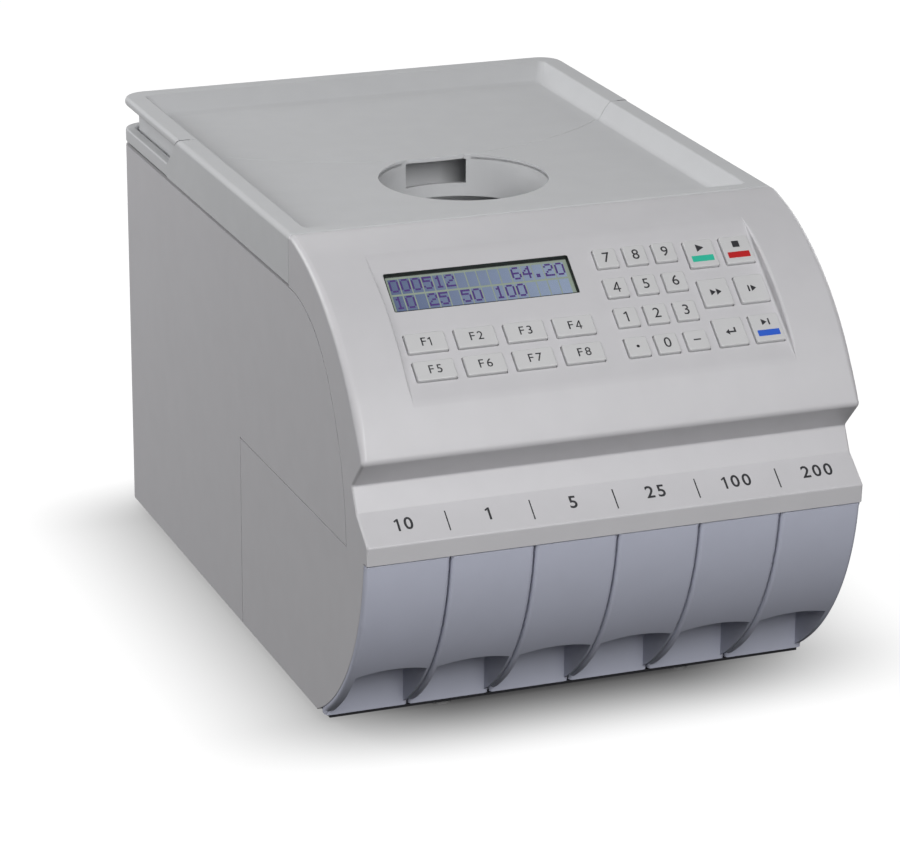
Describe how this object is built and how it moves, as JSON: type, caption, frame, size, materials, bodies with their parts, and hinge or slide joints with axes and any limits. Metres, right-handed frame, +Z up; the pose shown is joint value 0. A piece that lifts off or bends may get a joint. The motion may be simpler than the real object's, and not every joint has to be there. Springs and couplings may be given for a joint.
{
  "type": "countertop coin sorter",
  "caption": "Countertop coin sorter: curved console with keypad and display, coin drawers in front, and a coin tray on top that tips up to pour into a spinning-disc sorter.",
  "frame": {"origin": "on the floor under the middle of the casing's width and depth", "axes": "+Z up, +Y from the console to the rear, +X to the right seen from the front"},
  "size_m": [0.28, 0.442, 0.2585],
  "materials": {
    "casing": "fine-textured light grey moulding",
    "tray": "fine-textured grey moulding",
    "drawer": "satin blue-grey moulding",
    "key": "satin light grey",
    "window": "clear",
    "display": "dark blue-grey",
    "rubber": "matte black",
    "board": "green solder mask",
    "black_plastic": "matte black",
    "steel": "brushed",
    "cast": "machined casting",
    "painted": "semi-matte black paint"
  },
  "bodies": {
    "casing": {"front_housing": "casing", "rear_cover": "casing", "base_plate": "painted", "rubber_feet": "rubber", "tray_frame": "tray", "tray_hinge_pins": "steel", "display_window": "window", "display_module": "display", "key_mat": "rubber", "keypad_board": "board", "drawer_partitions": "steel", "deck_plate": "steel", "bearing_housing": "cast", "sorting_head": "cast", "hopper": "tray", "coin_chutes": "black_plastic", "drive_motor": "painted", "drive_belt": "rubber", "control_board": "board", "power_supply": "steel", "power_inlet": "black_plastic", "screws": "steel"},
    "tray": {"coin_tray": "tray"},
    "disc": {"turntable_shaft": "steel", "turntable": "steel", "turntable_pulley": "black_plastic"},
    "motor_rotor": {"motor_pulley": "steel"},
    "rocker": {"power_switch": "black_plastic"},
    "coin_drawer_1_body": {"coin_drawer_1": "drawer"},
    "coin_drawer_2_body": {"coin_drawer_2": "drawer"},
    "coin_drawer_3_body": {"coin_drawer_3": "drawer"},
    "coin_drawer_4_body": {"coin_drawer_4": "drawer"},
    "coin_drawer_5_body": {"coin_drawer_5": "drawer"},
    "coin_drawer_6_body": {"coin_drawer_6": "drawer"},
    "function_key_1_body": {"function_key_1": "key"},
    "function_key_2_body": {"function_key_2": "key"},
    "function_key_3_body": {"function_key_3": "key"},
    "function_key_4_body": {"function_key_4": "key"},
    "function_key_5_body": {"function_key_5": "key"},
    "function_key_6_body": {"function_key_6": "key"},
    "function_key_7_body": {"function_key_7": "key"},
    "function_key_8_body": {"function_key_8": "key"},
    "number_key_0_body": {"number_key_0": "key"},
    "number_key_1_body": {"number_key_1": "key"},
    "number_key_2_body": {"number_key_2": "key"},
    "number_key_3_body": {"number_key_3": "key"},
    "number_key_4_body": {"number_key_4": "key"},
    "number_key_5_body": {"number_key_5": "key"},
    "number_key_6_body": {"number_key_6": "key"},
    "number_key_7_body": {"number_key_7": "key"},
    "number_key_8_body": {"number_key_8": "key"},
    "number_key_9_body": {"number_key_9": "key"},
    "number_key_point_body": {"number_key_point": "key"},
    "number_key_minus_body": {"number_key_minus": "key"},
    "control_key_1_body": {"control_key_1": "key"},
    "control_key_2_body": {"control_key_2": "key"},
    "control_key_3_body": {"control_key_3": "key"},
    "control_key_4_body": {"control_key_4": "key"},
    "control_key_5_body": {"control_key_5": "key"},
    "control_key_6_body": {"control_key_6": "key"}
  },
  "joints": [
    {"name": "tray_tip", "type": "hinge", "parent": "casing", "child": "tray", "pos_m": [0, 0.088, 0.2525], "axis": [1, 0, 0], "range_deg": [0, 40]},
    {"name": "disc_spin", "type": "hinge", "parent": "casing", "child": "disc", "pos_m": [0, 0.011, 0.14], "axis": [0, 0, 1], "continuous": true},
    {"name": "motor_spin", "type": "hinge", "parent": "casing", "child": "motor_rotor", "pos_m": [0, 0.121, 0.14], "axis": [0, 0, 1], "continuous": true},
    {"name": "rocker_tip", "type": "hinge", "parent": "casing", "child": "rocker", "pos_m": [-0.0715, 0.2161, 0.038], "axis": [1, 0, 0], "range_deg": [0, 14]},
    {"name": "coin_drawer_1_slide", "type": "slide", "parent": "casing", "child": "coin_drawer_1_body", "axis": [0, -1, 0], "range_m": [0, 0.1]},
    {"name": "coin_drawer_2_slide", "type": "slide", "parent": "casing", "child": "coin_drawer_2_body", "axis": [0, -1, 0], "range_m": [0, 0.1]},
    {"name": "coin_drawer_3_slide", "type": "slide", "parent": "casing", "child": "coin_drawer_3_body", "axis": [0, -1, 0], "range_m": [0, 0.1]},
    {"name": "coin_drawer_4_slide", "type": "slide", "parent": "casing", "child": "coin_drawer_4_body", "axis": [0, -1, 0], "range_m": [0, 0.1]},
    {"name": "coin_drawer_5_slide", "type": "slide", "parent": "casing", "child": "coin_drawer_5_body", "axis": [0, -1, 0], "range_m": [0, 0.1]},
    {"name": "coin_drawer_6_slide", "type": "slide", "parent": "casing", "child": "coin_drawer_6_body", "axis": [0, -1, 0], "range_m": [0, 0.1]},
    {"name": "function_key_1_press", "type": "slide", "parent": "casing", "child": "function_key_1_body", "axis": [0, 0.6225, -0.7826], "range_m": [0, 0.0015], "stiffness_N_per_m": 300, "springref_m": -0.001},
    {"name": "function_key_2_press", "type": "slide", "parent": "casing", "child": "function_key_2_body", "axis": [0, 0.6225, -0.7826], "range_m": [0, 0.0015], "stiffness_N_per_m": 300, "springref_m": -0.001},
    {"name": "function_key_3_press", "type": "slide", "parent": "casing", "child": "function_key_3_body", "axis": [0, 0.6225, -0.7826], "range_m": [0, 0.0015], "stiffness_N_per_m": 300, "springref_m": -0.001},
    {"name": "function_key_4_press", "type": "slide", "parent": "casing", "child": "function_key_4_body", "axis": [0, 0.6225, -0.7826], "range_m": [0, 0.0015], "stiffness_N_per_m": 300, "springref_m": -0.001},
    {"name": "function_key_5_press", "type": "slide", "parent": "casing", "child": "function_key_5_body", "axis": [0, 0.6225, -0.7826], "range_m": [0, 0.0015], "stiffness_N_per_m": 300, "springref_m": -0.001},
    {"name": "function_key_6_press", "type": "slide", "parent": "casing", "child": "function_key_6_body", "axis": [0, 0.6225, -0.7826], "range_m": [0, 0.0015], "stiffness_N_per_m": 300, "springref_m": -0.001},
    {"name": "function_key_7_press", "type": "slide", "parent": "casing", "child": "function_key_7_body", "axis": [0, 0.6225, -0.7826], "range_m": [0, 0.0015], "stiffness_N_per_m": 300, "springref_m": -0.001},
    {"name": "function_key_8_press", "type": "slide", "parent": "casing", "child": "function_key_8_body", "axis": [0, 0.6225, -0.7826], "range_m": [0, 0.0015], "stiffness_N_per_m": 300, "springref_m": -0.001},
    {"name": "number_key_0_press", "type": "slide", "parent": "casing", "child": "number_key_0_body", "axis": [0, 0.6225, -0.7826], "range_m": [0, 0.0015], "stiffness_N_per_m": 300, "springref_m": -0.001},
    {"name": "number_key_1_press", "type": "slide", "parent": "casing", "child": "number_key_1_body", "axis": [0, 0.6225, -0.7826], "range_m": [0, 0.0015], "stiffness_N_per_m": 300, "springref_m": -0.001},
    {"name": "number_key_2_press", "type": "slide", "parent": "casing", "child": "number_key_2_body", "axis": [0, 0.6225, -0.7826], "range_m": [0, 0.0015], "stiffness_N_per_m": 300, "springref_m": -0.001},
    {"name": "number_key_3_press", "type": "slide", "parent": "casing", "child": "number_key_3_body", "axis": [0, 0.6225, -0.7826], "range_m": [0, 0.0015], "stiffness_N_per_m": 300, "springref_m": -0.001},
    {"name": "number_key_4_press", "type": "slide", "parent": "casing", "child": "number_key_4_body", "axis": [0, 0.6225, -0.7826], "range_m": [0, 0.0015], "stiffness_N_per_m": 300, "springref_m": -0.001},
    {"name": "number_key_5_press", "type": "slide", "parent": "casing", "child": "number_key_5_body", "axis": [0, 0.6225, -0.7826], "range_m": [0, 0.0015], "stiffness_N_per_m": 300, "springref_m": -0.001},
    {"name": "number_key_6_press", "type": "slide", "parent": "casing", "child": "number_key_6_body", "axis": [0, 0.6225, -0.7826], "range_m": [0, 0.0015], "stiffness_N_per_m": 300, "springref_m": -0.001},
    {"name": "number_key_7_press", "type": "slide", "parent": "casing", "child": "number_key_7_body", "axis": [0, 0.6225, -0.7826], "range_m": [0, 0.0015], "stiffness_N_per_m": 300, "springref_m": -0.001},
    {"name": "number_key_8_press", "type": "slide", "parent": "casing", "child": "number_key_8_body", "axis": [0, 0.6225, -0.7826], "range_m": [0, 0.0015], "stiffness_N_per_m": 300, "springref_m": -0.001},
    {"name": "number_key_9_press", "type": "slide", "parent": "casing", "child": "number_key_9_body", "axis": [0, 0.6225, -0.7826], "range_m": [0, 0.0015], "stiffness_N_per_m": 300, "springref_m": -0.001},
    {"name": "number_key_point_press", "type": "slide", "parent": "casing", "child": "number_key_point_body", "axis": [0, 0.6225, -0.7826], "range_m": [0, 0.0015], "stiffness_N_per_m": 300, "springref_m": -0.001},
    {"name": "number_key_minus_press", "type": "slide", "parent": "casing", "child": "number_key_minus_body", "axis": [0, 0.6225, -0.7826], "range_m": [0, 0.0015], "stiffness_N_per_m": 300, "springref_m": -0.001},
    {"name": "control_key_1_press", "type": "slide", "parent": "casing", "child": "control_key_1_body", "axis": [0, 0.6225, -0.7826], "range_m": [0, 0.0015], "stiffness_N_per_m": 300, "springref_m": -0.001},
    {"name": "control_key_2_press", "type": "slide", "parent": "casing", "child": "control_key_2_body", "axis": [0, 0.6225, -0.7826], "range_m": [0, 0.0015], "stiffness_N_per_m": 300, "springref_m": -0.001},
    {"name": "control_key_3_press", "type": "slide", "parent": "casing", "child": "control_key_3_body", "axis": [0, 0.6225, -0.7826], "range_m": [0, 0.0015], "stiffness_N_per_m": 300, "springref_m": -0.001},
    {"name": "control_key_4_press", "type": "slide", "parent": "casing", "child": "control_key_4_body", "axis": [0, 0.6225, -0.7826], "range_m": [0, 0.0015], "stiffness_N_per_m": 300, "springref_m": -0.001},
    {"name": "control_key_5_press", "type": "slide", "parent": "casing", "child": "control_key_5_body", "axis": [0, 0.6225, -0.7826], "range_m": [0, 0.0015], "stiffness_N_per_m": 300, "springref_m": -0.001},
    {"name": "control_key_6_press", "type": "slide", "parent": "casing", "child": "control_key_6_body", "axis": [0, 0.6225, -0.7826], "range_m": [0, 0.0015], "stiffness_N_per_m": 300, "springref_m": -0.001}
  ],
  "couplings": [
    {"joint": "motor_spin", "follows": "disc_spin", "ratio": 3}
  ]
}
